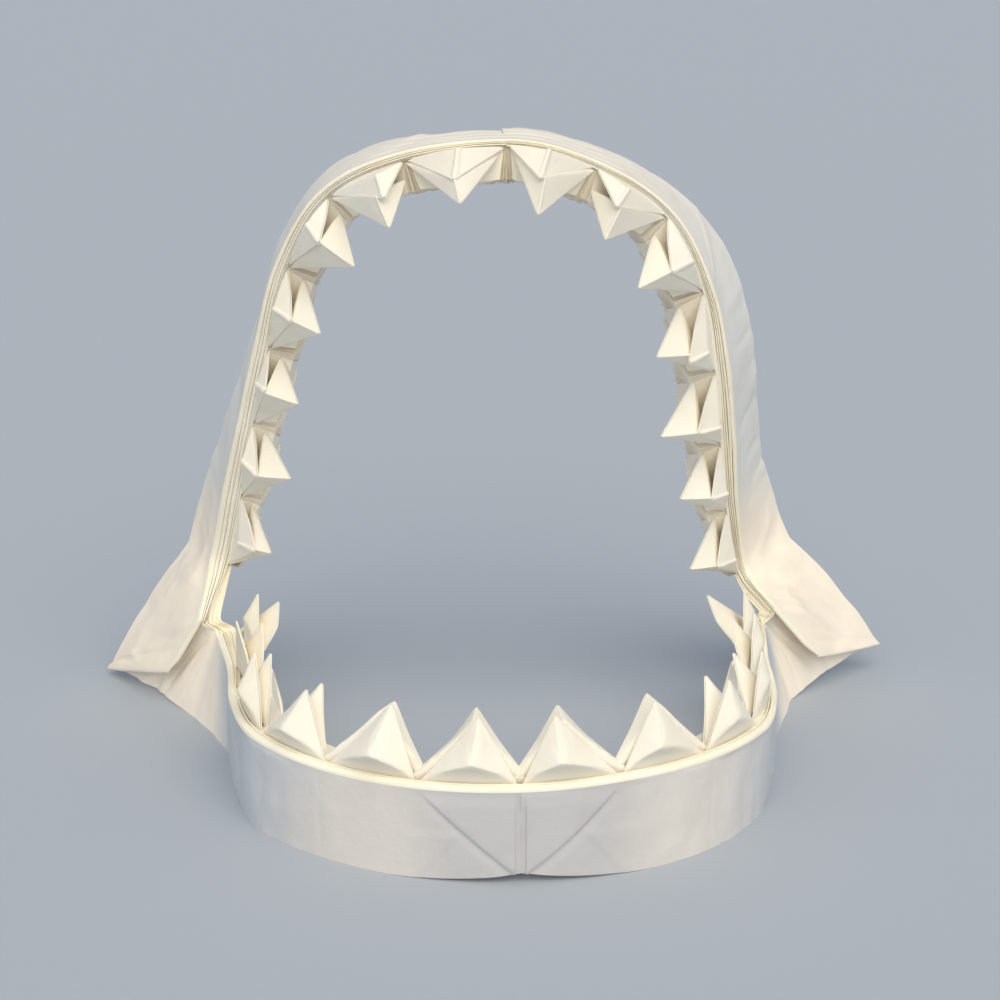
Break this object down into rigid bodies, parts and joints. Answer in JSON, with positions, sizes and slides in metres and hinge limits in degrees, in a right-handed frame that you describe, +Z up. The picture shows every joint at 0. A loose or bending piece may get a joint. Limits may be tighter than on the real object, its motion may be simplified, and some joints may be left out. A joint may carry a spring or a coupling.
{
  "type": "folded paper shark jaw",
  "caption": "Open shark jaw folded from cream paper, standing on its lower jaw, with rows of puffed teeth and flared corner flaps.",
  "frame": {"origin": "on the floor, under the middle of the whole outline", "axes": "+Z up, -Y the front with the lower jaw's bend, +X to the right as seen from the front"},
  "size_m": [0.3266, 0.2008, 0.2307],
  "materials": {
    "paper": "uncoated cream paper, matte, with soft wrinkles and crisp folds"
  },
  "bodies": {
    "root": {"upper_jaw_left": "paper", "upper_jaw_right": "paper", "lower_jaw_left": "paper", "lower_jaw_right": "paper", "upper_flap_left": "paper", "upper_flap_right": "paper", "lower_flap_left": "paper", "lower_flap_right": "paper"}
  },
  "joints": []
}
